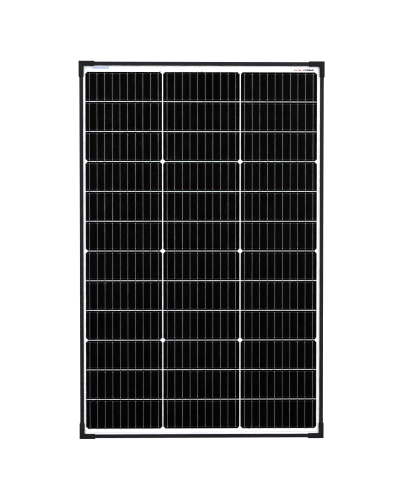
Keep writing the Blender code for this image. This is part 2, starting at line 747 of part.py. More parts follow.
def make_box_base():
    base = plate([box_loop(0)], (BOX_FRONT, BOX_RIM))
    cavity = plate([box_loop(BOX_WALL)], (BOX_FRONT + BOX_WALL, BOX_RIM + BOX_WALL))
    slit = plate([lead_slit()], (BOX_FRONT - BOX_WALL, BOX_FRONT + 2 * BOX_WALL))
    combine(base, "DIFFERENCE", cavity, slit)
    for sign in (-1, 1):
        lug = side_prism(lug_loop(), *sorted((sign * LUG_X[0], sign * LUG_X[1])))
        pin_length = LUG_X[0] + CLEAR - PIN_END_X
        pin_x = sign * (PIN_END_X + pin_length / 2)
        pin = cylinder(PIN_RADIUS, (pin_x, HINGE_DEPTH, HINGE_Z), "X", pin_length, 16)
        x, half = sign * TONGUE_X, DETENT_WIDTH / 2
        low = (x - half, DETENT_DEPTHS[0], BOX_LOW_Z - DETENT_HEIGHT)
        detent = block(low, (x + half, DETENT_DEPTHS[1], BOX_LOW_Z + CLEAR))
        x = sign * GLAND_X
        middle = BOX_LOW_Z + (BOX_WALL / 2 - SPIGOT_LENGTH) / 2
        length = SPIGOT_LENGTH + BOX_WALL / 2
        spigot = cylinder(SPIGOT_RADIUS, (x, GLAND_DEPTH, middle), "Z", length)
        combine(base, "UNION", lug, pin, detent, spigot)
        mouth_z = BOX_LOW_Z - SPIGOT_LENGTH
        mouth = cylinder(SPIGOT_BORE, (x, GLAND_DEPTH, mouth_z), "Z", 2 * SPIGOT_BORE_DEPTH)
        bore = cylinder(CABLE_BORE, (x, GLAND_DEPTH, BOX_LOW_Z), "Z", 2 * SPIGOT_LENGTH - MM)
        combine(base, "DIFFERENCE", mouth, bore)
    keep(base, "jbox_base", "box_plastic", smooth=True)
    pad = plate([box_loop(PAD_INSET), lead_slit()], LAYERS["pad"])
    keep(pad, "jbox_adhesive", "foam_tape")


def make_box_lid():
    lid = bevel(plate([box_loop(0)], LID_DEPTHS), LID_BEVEL)
    inset_low, inset_high = LID_LIP_INSETS
    lip = plate([box_loop(inset_low), box_loop(inset_high)], (LID_LIP_FRONT, LID_DEPTHS[0] + CLEAR))
    combine(lid, "UNION", lip)
    for sign in (-1, 1):
        span = sorted((sign * HOOK_X[0], sign * HOOK_X[1]))
        hook = side_prism(hook_loop(), *span)
        arm_low = (span[0], LID_DEPTHS[0] + LID_BEVEL, BOX_TOP_Z - LID_OVERLAP)
        arm_high = (span[1], LID_DEPTHS[1] - LID_BEVEL, HINGE_Z - (HOOK_INNER + HOOK_OUTER) / 2)
        arm = block(arm_low, arm_high)
        x, half = sign * TONGUE_X, TONGUE_WIDTH / 2
        tongue_low = (x - half, TONGUE_FRONT, TONGUE_Z[0])
        tongue = block(tongue_low, (x + half, LID_DEPTHS[1] - LID_BEVEL, TONGUE_Z[1]))
        bridge_low = (x - half, LID_DEPTHS[0] + LID_BEVEL / 2, TONGUE_Z[0] + CLEAR)
        bridge = block(bridge_low, (x + half, LID_DEPTHS[1] - 1.5 * LID_BEVEL, BOX_LOW_Z + LID_OVERLAP))
        half = WINDOW_WIDTH / 2
        window_low = (x - half, WINDOW_DEPTHS[0], TONGUE_Z[0] - WINDOW_OVERCUT)
        window = block(window_low, (x + half, WINDOW_DEPTHS[1], TONGUE_Z[1] + WINDOW_OVERCUT))
        combine(lid, "UNION", hook, arm, tongue, bridge)
        combine(lid, "DIFFERENCE", window)
    keep(lid, "jbox_lid", "box_plastic", smooth=True)
    gasket = plate([box_loop(GASKET_INSETS[0]), box_loop(GASKET_INSETS[1])], GASKET_DEPTHS)
    keep(gasket, "jbox_lid_gasket", "seal_rubber")


def ring_profile(radii, drops):
    """A rectangular ring section between two radii and two drops below the box's lower wall."""
    inner, outer = radii
    top, bottom = -drops[0], -drops[1]
    return [(outer, top), (outer, bottom), (inner, bottom), (inner, top)]


def dome_profile():
    """The nut's end: a skirt inside the hexagon, a rounded nose and a floor with the cable hole."""
    wide, narrow = DOME_RADII
    shoulder = -DOME_SHOULDER_DROP
    end = -DOME_END_DROP
    nose = [
        (narrow + (wide - narrow) * math.cos(a), shoulder + (end - shoulder) * math.sin(a))
        for a in (math.radians(30 * i) for i in range(4))
    ]
    inside = [
        (NUT_CABLE_HOLE, end),
        (NUT_CABLE_HOLE, -DOME_FLOOR_DROP),
        (DOME_BORE, -DOME_FLOOR_DROP),
        (DOME_BORE, -DOME_TOP_DROP),
    ]
    return [(wide, -DOME_TOP_DROP)] + nose + inside


def make_gland(side, x):
    place = Vector((x, to_y(GLAND_DEPTH), BOX_LOW_Z))
    seal = turned(ring_profile(SEAL_RADII, SEAL_DROPS), place)
    keep(seal, f"gland_seal_{side}", "seal_rubber", smooth=True)
    washer = turned(ring_profile(WASHER_RADII, WASHER_DROPS), place)
    keep(washer, f"gland_washer_{side}", "gland_plastic", smooth=True)
    corner = NUT_ACROSS_FLATS / 2 / math.cos(math.radians(30))
    hexagon = arc((0, 0), corner, 0, math.radians(300), 5)
    hole = arc((0, 0), NUT_BORE, 0, math.radians(360 - 360 / ROUND_SIDES), ROUND_SIDES - 1)
    top, bottom = NUT_DROPS
    middle = place - Vector((0, 0, (top + bottom) / 2))
    nut = prism([hexagon, hole], bottom - top, Matrix.Translation(middle))
    combine(nut, "UNION", turned(dome_profile(), place))
    keep(nut, f"gland_nut_{side}", "gland_plastic", smooth=True)


def make_terminals():
    """Terminal blocks with an upright that the lead is soldered to, and the wire-clamp screws."""
    for side, x in zip(("left", "centre", "right"), TERMINAL_XS):
        half = TERMINAL_WIDTH / 2
        low, high = TERMINAL_Z
        front, rear = TERMINAL_DEPTHS
        terminal = block((x - half, front, low), (x + half, rear, high))
        upright_low = (x - half, front + CLEAR, high - UPRIGHT_THICKNESS)
        upright = block(upright_low, (x + half, UPRIGHT_REAR, high - CLEAR / 3))
        combine(terminal, "UNION", upright)
        keep(terminal, f"terminal_{side}", "brass_nickel")
        depth = (rear + CLEAR + CLAMP_SCREW_REAR) / 2
        length = CLAMP_SCREW_REAR - rear - CLEAR
        screw = cylinder(CLAMP_SCREW_RADIUS, (x, depth, CLAMP_SCREW_Z), "Y", length, 20)
        cross = []
        for wide, tall in ((CROSS_SLOT_REACH, CROSS_SLOT_HALF), (CROSS_SLOT_HALF, CROSS_SLOT_REACH)):
            slot_low = (x - wide, CLAMP_SCREW_REAR - CROSS_SLOT_DEPTH, CLAMP_SCREW_Z - tall)
            slot_high = (x + wide, CLAMP_SCREW_REAR + CROSS_SLOT_DEPTH, CLAMP_SCREW_Z + tall)
            cross.append(block(slot_low, slot_high))
        combine(screw, "DIFFERENCE", *cross)
        keep(screw, f"terminal_screw_{side}", "screw_steel", smooth=True)


def make_diodes():
    """Bypass diodes, each lying across two terminals on its own straight leads."""
    left, middle, right = TERMINAL_XS
    for side, x in (("left", (left + middle) / 2), ("right", (middle + right) / 2)):
        centre = (x, DIODE_DEPTH, DIODE_Z)
        body = cylinder(DIODE_RADIUS, centre, "X", DIODE_LENGTH, 16)
        wire = cylinder(DIODE_LEAD_RADIUS, centre, "X", 2 * DIODE_REACH, 8)
        combine(body, "UNION", wire)
        keep(body, f"bypass_diode_{side}", "diode_epoxy", smooth=True)


make_frame()
make_corners()
make_strings()
make_buses()
make_leads()
make_laminate()
make_prints()
make_box_base()
make_box_lid()
make_gland("left", -GLAND_X)
make_gland("right", GLAND_X)
make_terminals()
make_diodes()
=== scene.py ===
"""The looks of a small framed solar panel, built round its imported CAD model.

Metres, in the CAD frame: X to the right, Y into the panel from its front, Z up.
"""

import math
import random

import bmesh
import bpy
from mathutils import Matrix, Vector


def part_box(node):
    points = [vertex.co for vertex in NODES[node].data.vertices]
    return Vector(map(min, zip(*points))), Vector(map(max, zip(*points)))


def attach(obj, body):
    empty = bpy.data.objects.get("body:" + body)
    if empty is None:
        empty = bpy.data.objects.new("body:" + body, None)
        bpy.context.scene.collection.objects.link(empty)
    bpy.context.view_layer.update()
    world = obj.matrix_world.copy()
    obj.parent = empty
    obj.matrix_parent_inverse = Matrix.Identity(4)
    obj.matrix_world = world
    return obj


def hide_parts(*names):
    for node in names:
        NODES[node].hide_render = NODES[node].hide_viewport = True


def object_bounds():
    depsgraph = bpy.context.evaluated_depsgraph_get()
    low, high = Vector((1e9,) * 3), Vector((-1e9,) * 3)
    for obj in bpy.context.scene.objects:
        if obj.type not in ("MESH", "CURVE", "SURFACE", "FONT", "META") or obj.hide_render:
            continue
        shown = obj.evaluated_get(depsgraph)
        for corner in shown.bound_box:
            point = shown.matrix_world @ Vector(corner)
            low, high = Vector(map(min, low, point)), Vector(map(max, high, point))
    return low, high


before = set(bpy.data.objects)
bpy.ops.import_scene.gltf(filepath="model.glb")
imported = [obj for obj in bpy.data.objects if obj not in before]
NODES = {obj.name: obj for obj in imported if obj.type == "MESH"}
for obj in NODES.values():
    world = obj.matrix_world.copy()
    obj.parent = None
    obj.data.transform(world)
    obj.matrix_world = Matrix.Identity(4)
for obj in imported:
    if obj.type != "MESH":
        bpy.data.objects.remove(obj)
CAD_BOX = [list(corner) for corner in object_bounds()]

MM = 0.001
SIDES = ("left", "centre", "right")

# Cells and ribbons, as the CAD's strings have them
ROWS = 12
ROW_GAP = 1.2 * MM
CELL_CHAMFER = 5 * MM
RIBBONS = 10
RIBBON_PITCH = 18.15 * MM
RIBBON_WIDTH = 0.9 * MM
RIBBON_OVERRUN = 7.5 * MM
CELLS_PER_WAFER = 3

# Fine parts of the cells that the CAD leaves out
WAFER_THICKNESS = 0.18 * MM
LINE_FROM_EDGE = 4.6 * MM
LINE_FROM_SIDE = 1.2 * MM
LINE_HALF_WIDTH = 0.2 * MM
LINE_RAISED = 0.02 * MM
LINE_SUNK = 0.05 * MM
RIBBON_THICKNESS = 0.16 * MM
RIBBON_TIP = 3.0 * MM
RIBBON_LAST_OVERRUN = 7.0 * MM
RIBBON_BEND = 0.2 * MM
RIBBON_BEHIND = 0.36 * MM
RIBBON_UNDERLAP = 8 * MM
DOT_SUNK = 0.1 * MM
DOT_HEIGHT = 0.12 * MM
DOT_HALF_LENGTH = 1.3 * MM

# The most that a wafer, a ribbon and a ribbon's ends stray, in millimetres
WAFER_STRAY = 0.01
RIBBON_STRAY = 0.08
RIBBON_SLIP = 0.4


# ---- Materials ----


class Paint:
    """A material whose Principled shader is fed by small chains of nodes."""

    def __init__(self, name, colour, roughness, metallic=0.0, **sockets):
        self.material = bpy.data.materials.new(name)
        self.material.use_nodes = True
        self.tree = self.material.node_tree
        self.shader = self.tree.nodes["Principled BSDF"]
        self.output = self.tree.nodes["Material Output"]
        self.place = self.add("ShaderNodeTexCoord").outputs["Object"]
        self.set("Base Color", (*colour, 1.0))
        self.set("Roughness", roughness)
        self.set("Metallic", metallic)
        for socket, value in sockets.items():
            self.set(socket.replace("_", " "), value)

    def set(self, socket, value):
        self.shader.inputs[socket].default_value = value

    def add(self, kind, **settings):
        node = self.tree.nodes.new(kind)
        for name, value in settings.items():
            setattr(node, name, value)
        return node

    def join(self, output, socket):
        self.tree.links.new(output, socket)

    def feed(self, socket, output):
        self.join(output, self.shader.inputs[socket])

    def noise(self, size, stretch=(1, 1, 1), detail=3.0):
        """Noise with features about size across, longer by stretch along each axis."""
        mapping = self.add("ShaderNodeMapping")
        mapping.inputs["Scale"].default_value = [1 / (size * s) for s in stretch]
        self.join(self.place, mapping.inputs["Vector"])
        texture = self.add("ShaderNodeTexNoise")
        texture.inputs["Scale"].default_value = 1.0
        texture.inputs["Detail"].default_value = detail
        self.join(mapping.outputs["Vector"], texture.inputs["Vector"])
        return texture.outputs["Fac"]

    def grains(self, size):
        """Small cells about size across, dark in their middles."""
        mapping = self.add("ShaderNodeMapping")
        mapping.inputs["Scale"].default_value = [1 / size] * 3
        self.join(self.place, mapping.inputs["Vector"])
        texture = self.add("ShaderNodeTexVoronoi")
        texture.inputs["Scale"].default_value = 1.0
        self.join(mapping.outputs["Vector"], texture.inputs["Vector"])
        return texture.outputs["Distance"]

    def lines(self, axis, pitch, share):
        """Fine lines across an axis: 1 on a line and 0 between them."""
        wave = self.add("ShaderNodeTexWave", bands_direction=axis)
        wave.inputs["Scale"].default_value = 2 * math.pi / (20 * pitch)
        self.join(self.place, wave.inputs["Vector"])
        edge = 0.5 + 0.5 * math.cos(math.pi * share)
        return self.spread(wave.outputs["Fac"], 0.0, 1.0, edge - 0.004, edge + 0.004)

    def spread(self, value, low, high, from_low=0.3, from_high=0.7):
        """A value from one range carried to another, and held at its ends."""
        ranged = self.add("ShaderNodeMapRange")
        for socket, number in (
            ("From Min", from_low),
            ("From Max", from_high),
            ("To Min", low),
            ("To Max", high),
        ):
            ranged.inputs[socket].default_value = number
        self.join(value, ranged.inputs["Value"])
        return ranged.outputs["Result"]

    def maths(self, operation, first, second):
        """The result of one sum; each side is a number or another node's output."""
        node = self.add("ShaderNodeMath", operation=operation)
        for socket, value in zip(node.inputs, (first, second)):
            if isinstance(value, (int, float)):
                socket.default_value = value
            else:
                self.join(value, socket)
        return node.outputs["Value"]

    def blend(self, factor, first, second):
        """A colour between two others; each is three numbers or another blend."""
        node = self.add("ShaderNodeMix", data_type="RGBA")
        sockets = [s for s in node.inputs if s.type == "RGBA"]
        for socket, value in zip(sockets, (first, second)):
            if isinstance(value, tuple):
                socket.default_value = (*value, 1.0)
            else:
                self.join(value, socket)
        self.join(factor, node.inputs["Factor"])
        return [s for s in node.outputs if s.type == "RGBA"][0]

    def relief(self, height, depth, under=None):
        """Bump of a real depth in metres, on top of another bump's normal."""
        bump = self.add("ShaderNodeBump")
        bump.inputs["Strength"].default_value = 1.0
        bump.inputs["Distance"].default_value = depth
        self.join(height, bump.inputs["Height"])
        if under:
            self.join(under, bump.inputs["Normal"])
        return bump.outputs["Normal"]


def anodised(name, along):
    """Black anodised extrusion: fine drawing lines along the rail, and a faint bloom."""
    paint = Paint(name, (0.012, 0.012, 0.017), 0.42, 0.0, Specular_IOR_Level=0.05)
    stretch = [90 if axis == along else 1 for axis in "XYZ"]
    drawn = paint.noise(0.35 * MM, stretch, 4)
    bloom = paint.noise(22 * MM, [5 if axis == along else 1 for axis in "XYZ"], 3)
    colour = paint.blend(paint.spread(bloom, 0, 1), (0.0075, 0.0075, 0.012), (0.0135, 0.0135, 0.018))
    paint.feed("Base Color", paint.blend(paint.spread(drawn, 0, 0.35), colour, (0.022, 0.022, 0.026)))
    rough = paint.maths("ADD", paint.spread(drawn, 0.34, 0.46), paint.spread(bloom, -0.03, 0.04))
    paint.feed("Roughness", rough)
    paint.feed("Normal", paint.relief(drawn, 0.006 * MM))
    return paint.material


def moulded(name, dark, light, roughness, grain=0.5 * MM, depth=0.012 * MM, specular=0.05):
    """Injection-moulded plastic: a fine leathery grain, flow marks and slight scuffs."""
    paint = Paint(name, dark, roughness, Specular_IOR_Level=specular)
    grains = paint.grains(grain)
    flow = paint.noise(14 * MM, (1, 1, 2), 3)
    scuffs = paint.noise(2.2 * MM, (6, 1, 1), 5)
    colour = paint.blend(paint.spread(flow, 0, 0.6), dark, light)
    paint.feed("Base Color", paint.blend(paint.spread(scuffs, 0, 0.4, 0.58, 0.75), colour, light))
    rough = paint.maths("ADD", paint.spread(grains, roughness - 0.05, roughness + 0.07, 0, 0.7),
                        paint.spread(flow, -0.03, 0.03))
    paint.feed("Roughness", rough)
    fine = paint.relief(paint.noise(0.12 * MM, detail=2), depth / 3)
    paint.feed("Normal", paint.relief(grains, depth, fine))
    return paint.material


TARNISH = (0.8, 0.76, 0.68)


def metal(name, colour, roughness):
    """Bare or plated metal with a fine grain and patchy dulling."""
    paint = Paint(name, colour, roughness, 1.0)
    grain = paint.noise(0.25 * MM)
    patches = paint.noise(5 * MM, detail=4)
    dull = tuple(c * t for c, t in zip(colour, TARNISH))
    paint.feed("Base Color", paint.blend(paint.spread(patches, 0, 0.6), colour, dull))
    rough = paint.maths("ADD", paint.spread(grain, roughness - 0.06, roughness + 0.08),
                        paint.spread(patches, -0.04, 0.06))
    paint.feed("Roughness", rough)
    paint.feed("Normal", paint.relief(grain, 0.005 * MM))
    return paint.material


def rubber(name, colour, roughness=0.75):
    """Rubber or sealant with a soft bloom of dust."""
    paint = Paint(name, colour, roughness)
    dust = paint.noise(3 * MM, detail=5)
    lighter = tuple(c + 0.018 for c in colour)
    paint.feed("Base Color", paint.blend(paint.spread(dust, 0, 0.7), colour, lighter))
    paint.feed("Roughness", paint.spread(dust, roughness - 0.08, roughness + 0.1))
    paint.feed("Normal", paint.relief(paint.noise(0.3 * MM, detail=3), 0.01 * MM))
    return paint.material


def white_sheet(name, colour, roughness):
    """Fluoropolymer sheet: embossed micro-grain and a barely mottled white."""
    paint = Paint(name, colour, roughness)
    mottle = paint.noise(30 * MM, detail=4)
    shade = tuple(c * 0.975 for c in colour)
    paint.feed("Base Color", paint.blend(paint.spread(mottle, 0, 1), colour, shade))
    grains = paint.grains(0.45 * MM)
    paint.feed("Roughness", paint.spread(grains, roughness - 0.06, roughness + 0.08, 0, 0.7))
    waves = paint.relief(paint.noise(45 * MM, detail=2), 0.15 * MM)
    paint.feed("Normal", paint.relief(grains, 0.01 * MM, waves))
    return paint.material


def silicon():
    """Mono silicon: blue-black, with fine silver fingers across and a fine etched grain."""
    paint = Paint("silicon", (0.0008, 0.0008, 0.0012), 0.4, Specular_IOR_Level=0.008)
    tone = paint.noise(55 * MM, detail=2)
    etched = paint.noise(0.08 * MM, detail=2)
    colour = paint.blend(
        paint.spread(tone, 0, 1), (0.0003, 0.0003, 0.0004), (0.0008, 0.0008, 0.001)
    )
    fingers = paint.lines("Z", 1.4 * MM, 0.04)
    paint.feed("Base Color", paint.blend(fingers, colour, (0.008, 0.008, 0.009)))
    paint.feed("Roughness", paint.spread(etched, 0.36, 0.46))
    return paint.material


def solder(name, colour, roughness):
    """Tinned ribbon: soft pewter metal, a little uneven where it was dipped and soldered."""
    paint = Paint(name, colour, roughness, 0.5)
    dips = paint.noise(2.5 * MM, (1, 1, 5), 4)
    pits = paint.noise(0.15 * MM, detail=2)
    duller = tuple(c * 0.72 for c in colour)
    paint.feed("Base Color", paint.blend(paint.spread(dips, 0, 1), colour, duller))
    paint.feed("Roughness", paint.spread(dips, roughness - 0.06, roughness + 0.08))
    paint.feed("Normal", paint.relief(pits, 0.004 * MM))
    return paint.material


def glass():
    """Low-iron glass with an anti-reflection coat: clear, faintly green, a little soft in gloss."""
    paint = Paint("solar_glass", (1, 1, 1), 0.06)
    nodes = paint.tree.nodes
    nodes.remove(paint.shader)
    clear = paint.add("ShaderNodeBsdfTransparent")
    clear.inputs["Color"].default_value = (0.992, 0.996, 0.994, 1)
    gloss = paint.add("ShaderNodeBsdfGlossy")
    smear = paint.noise(60 * MM, (2, 1, 1), 4)
    paint.join(paint.spread(smear, 0.13, 0.2), gloss.inputs["Roughness"])
    bump = paint.relief(paint.noise(1.2 * MM, detail=2), 0.0015 * MM)
    paint.join(bump, gloss.inputs["Normal"])
    fresnel = paint.add("ShaderNodeFresnel")
    fresnel.inputs["IOR"].default_value = 1.16
    mix = paint.add("ShaderNodeMixShader")
    side = paint.add("ShaderNodeNewGeometry")
    outer = paint.maths("SUBTRACT", 1.0, side.outputs["Backfacing"])
    paint.join(paint.maths("MULTIPLY", fresnel.outputs["Fac"], outer), mix.inputs["Fac"])
    paint.join(clear.outputs["BSDF"], mix.inputs[1])
    paint.join(gloss.outputs["BSDF"], mix.inputs[2])
    paint.join(mix.outputs["Shader"], paint.output.inputs["Surface"])
    return paint.material


def film(name):
    """Cured encapsulant: all but invisible, with the faintest milky mottle."""
    paint = Paint(name, (0.05, 0.05, 0.05), 0.4, Specular_IOR_Level=0.0)
    mottle = paint.noise(25 * MM, detail=3)
    mottled = paint.spread(mottle, 0, 1)
    paint.feed("Base Color", paint.blend(mottled, (0.04, 0.04, 0.04), (0.08, 0.08, 0.08)))
    paint.set("Alpha", 0.01)
    return paint.material


def foam(name):
    """Dark foam tape with open cells."""
    paint = Paint(name, (0.05, 0.05, 0.05), 0.95)
    cells = paint.grains(0.6 * MM)
    open_cells = paint.spread(cells, 0, 1, 0, 0.7)
    paint.feed("Base Color", paint.blend(open_cells, (0.02, 0.02, 0.02), (0.08, 0.08, 0.08)))
    paint.feed("Normal", paint.relief(cells, 0.08 * MM))
    return paint.material


def printed(name, colour, roughness=0.5):
    """A printed label or mark: even ink, slightly denser in patches."""
    paint = Paint(name, colour, roughness)
    ink = paint.noise(0.9 * MM, detail=3)
    denser = tuple(c * 0.9 for c in colour)
    paint.feed("Base Color", paint.blend(paint.spread(ink, 0, 1), colour, denser))
    paint.feed("Roughness", paint.spread(ink, roughness - 0.05, roughness + 0.05))
    return paint.material


PAINTS = {
    "anodised_x": anodised("anodised_x", "X"),
    "anodised_z": anodised("anodised_z", "Z"),
    "guard": moulded("guard_moulding", (0.007, 0.0075, 0.008), (0.016, 0.016, 0.017), 0.4),
    "box": moulded(
        "box_moulding", (0.011, 0.011, 0.012), (0.024, 0.024, 0.025), 0.4, 0.8 * MM, 0.02 * MM, 0.25
    ),
    "gland": moulded(
        "gland_moulding", (0.014, 0.014, 0.015), (0.028, 0.028, 0.029), 0.42, 0.4 * MM, 0.008 * MM, 0.25
    ),
    "key": metal("cast_key", (0.55, 0.56, 0.58), 0.45),
    "rubber": rubber("rubber", (0.018, 0.018, 0.019)),
    "glass": glass(),
    "film": film("encapsulant"),
    "sheet": white_sheet("backsheet_white", (0.86, 0.865, 0.87), 0.55),
    "eva": white_sheet("white_encapsulant", (0.91, 0.905, 0.94), 0.5),
    "cover": white_sheet("cover_white", (0.92, 0.922, 0.932), 0.5),
    # Grey of the thin strips along the cover strips' edges: painted shade, not a real line on the sheet.
    "cover_edge_shade": white_sheet("cover_edge_shade", (0.62, 0.6, 0.66), 0.5),
    # The insulation is a greyer white than the film, so that the cell gaps in front of it look as shaded
    # as the deeper gaps elsewhere: painted shade.
    "insulation": white_sheet("insulation_grey_painted_shade", (0.80, 0.81, 0.82), 0.45),
    "silicon": silicon(),
    "ribbon": solder("ribbon_tin", (0.165, 0.165, 0.17), 0.45),
    "dot": solder("solder_dot", (0.32, 0.32, 0.325), 0.4),
    "silver": printed("silver_print", (0.016, 0.016, 0.018), 0.4),
    "bus": solder("bus_tin", (0.5, 0.5, 0.51), 0.38),
    "label": printed("label_white", (0.8, 0.8, 0.8)),
    "serial": printed("serial_blue", (0.56, 0.62, 0.82)),
    "serial_line": printed("serial_line", (0.22, 0.27, 0.52)),
    "mark_dark": printed("mark_dark", (0.025, 0.025, 0.035)),
    "mark_red": printed("mark_red", (0.5, 0.14, 0.16)),
    "foam": foam("foam_tape"),
    "sealant": rubber("sealant", (0.55, 0.56, 0.57), 0.5),
    "brass": metal("nickel_brass", (0.46, 0.42, 0.34), 0.48),
    "steel": metal("zinc_steel", (0.52, 0.52, 0.53), 0.34),
    "epoxy": moulded("epoxy", (0.018, 0.018, 0.018), (0.03, 0.03, 0.03), 0.4, 0.3 * MM),
}

NODE_PAINTS = {
    "frame_rail_left": "anodised_z",
    "frame_rail_right": "anodised_z",
    "frame_rail_top": "anodised_x",
    "frame_rail_bottom": "anodised_x",
    "corner_key": "key",
    "corner_guard": "guard",
    "edge_seal": "rubber",
    "front_glass": "glass",
    "front_encapsulant": "film",
    "rear_encapsulant": "eva",
    "backsheet": "sheet",
    "bus_ribbon": "bus",
    "bus_cover": "cover",
    "lead": "bus",
    "insulation": "insulation",
    "serial_label": "serial",
    "front_mark": "mark_dark",
    "rating_label": "label",
    "jbox_adhesive": "foam",
    "jbox_base": "box",
    "jbox_lid_gasket": "rubber",
    "jbox_lid": "box",
    "terminal_screw": "steel",
    "terminal": "brass",
    "bypass_diode": "epoxy",
    "gland_nut": "gland",
    "gland_washer": "gland",
    "gland_seal": "rubber",
    "cell_string": "silicon",
}


def paint_nodes():
    """Give every CAD node the paint whose key is the longest one its name starts with."""
    for name, node in NODES.items():
        key = max((k for k in NODE_PAINTS if name.startswith(k)), key=len)
        node.data.materials.clear()
        node.data.materials.append(PAINTS[NODE_PAINTS[key]])


# ---- Pieces ----


def piece(name, mesh, paint, body="panel", smooth=False):
    """A finished bmesh as a piece of the object that moves with a body."""
    data = bpy.data.meshes.new(name)
    mesh.to_mesh(data)
    mesh.free()
    thing = bpy.data.objects.new(name, data)
    bpy.context.scene.collection.objects.link(thing)
    data.materials.append(PAINTS[paint])
    if smooth:
        data.shade_smooth()
        data.set_sharp_from_angle(angle=math.radians(35))
    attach(thing, body)
    return thing


def add_plate(mesh, loop, front, rear):
    """Add a closed plate to a bmesh: an outline of (x, z) points between two Y depths."""
    near = [mesh.verts.new((x, front, z)) for x, z in loop]
    far = [mesh.verts.new((x, rear, z)) for x, z in loop]
    mesh.faces.new(near)
    mesh.faces.new(far[::-1])
    for i in range(len(loop)):
        j = (i + 1) % len(loop)
        mesh.faces.new((near[j], near[i], far[i], far[j]))


def add_bar(mesh, left, right, bottom, top, front, rear):
    """Add a plain box to a bmesh."""
    add_plate(mesh, [(left, bottom), (right, bottom), (right, top), (left, top)], front, rear)


def add_sweep(mesh, profile, stations):
    """Add a closed bar: a profile of (x, y) points carried through (shift y, z) stations."""
    rings = [[mesh.verts.new((x, y + dy, z)) for x, y in profile] for dy, z in stations]
    count = len(profile)
    for low, high in zip(rings, rings[1:]):
        for i in range(count):
            j = (i + 1) % count
            mesh.faces.new((low[i], low[j], high[j], high[i]))
    mesh.faces.new(rings[0][::-1])
    mesh.faces.new(rings[-1])


BLOB_RINGS = 3
BLOB_SIDES = 10


def add_blob(mesh, centre, radii):
    """Add a flattened dome that stands towards the front from a base plane."""
    x, y, z = centre
    rx, ry, rz = radii
    levels = []
    for level in range(BLOB_RINGS):
        lift = math.radians(90 * level / BLOB_RINGS)
        ring = []
        for i in range(BLOB_SIDES):
            turn = 2 * math.pi * i / BLOB_SIDES
            across = x + rx * math.cos(lift) * math.cos(turn)
            up = z + rz * math.cos(lift) * math.sin(turn)
            ring.append(mesh.verts.new((across, y - ry * math.sin(lift), up)))
        levels.append(ring)
    for low, high in zip(levels, levels[1:]):
        for i in range(BLOB_SIDES):
            j = (i + 1) % BLOB_SIDES
            mesh.faces.new((low[i], low[j], high[j], high[i]))
    top = mesh.verts.new((x, y - ry, z))
    for i in range(BLOB_SIDES):
        mesh.faces.new((levels[-1][i], levels[-1][(i + 1) % BLOB_SIDES], top))
    mesh.faces.new(levels[0][::-1])


def chamfered(left, right, bottom, top, low, high):
    """A cell's outline, with its lower and upper corners cut by two amounts."""
    loop = [
        (left + low, bottom),
        (right - low, bottom),
        (right, bottom + low),
        (right, top - high),
        (right - high, top),
        (left + high, top),
        (left, top - high),
        (left, bottom + low),
    ]
    return [point for i, point in enumerate(loop) if point != loop[i - 1]]


def build_strings():
    """Wafers, silver lines, ribbons and solder dots in place of the CAD's plain strings."""
    random.seed(36)
    for side in SIDES:
        low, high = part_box(f"cell_string_{side}")
        left, right = low.x, high.x
        block_low, block_high = low.z + RIBBON_OVERRUN, high.z - RIBBON_OVERRUN
        cell_height = (block_high - block_low - (ROWS - 1) * ROW_GAP) / ROWS
        wafer_front, wafer_rear = high.y - WAFER_THICKNESS, high.y
        wafers, lines, ribbons, dots = (bmesh.new() for _ in range(4))
        first = (left + right) / 2 - RIBBON_PITCH * (RIBBONS - 1) / 2
        centres = [first + RIBBON_PITCH * i for i in range(RIBBONS)]
        down = side != "centre"
        for row in range(ROWS):
            top = block_high - row * (cell_height + ROW_GAP)
            bottom = top - cell_height
            cut_low = CELL_CHAMFER if row % CELLS_PER_WAFER == CELLS_PER_WAFER - 1 else 0
            cut_high = CELL_CHAMFER if row % CELLS_PER_WAFER == 0 else 0
            shift = random.uniform(-WAFER_STRAY, WAFER_STRAY) * MM
            face = wafer_front + shift
            loop = chamfered(left, right, bottom, top, cut_low, cut_high)
            add_plate(wafers, loop, face, wafer_rear + shift)
            for z in (bottom + LINE_FROM_EDGE, top - LINE_FROM_EDGE):
                add_bar(
                    lines,
                    left + LINE_FROM_SIDE,
                    right - LINE_FROM_SIDE,
                    z - LINE_HALF_WIDTH,
                    z + LINE_HALF_WIDTH,
                    face - LINE_RAISED,
                    face + LINE_SUNK,
                )
            for centre in centres:
                x = centre + random.uniform(-RIBBON_STRAY, RIBBON_STRAY) * MM
                slip = random.uniform(-RIBBON_SLIP, RIBBON_SLIP) * MM
                add_ribbon(ribbons, dots, x, face, bottom, top, row, down, slip)
        wafer = piece(f"wafers_{side}", wafers, "silicon")
        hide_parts(f"cell_string_{side}")
        piece(f"cell_lines_{side}", lines, "silver")
        piece(f"ribbons_{side}", ribbons, "ribbon", smooth=True)
        piece(f"solder_dots_{side}", dots, "dot", smooth=True)


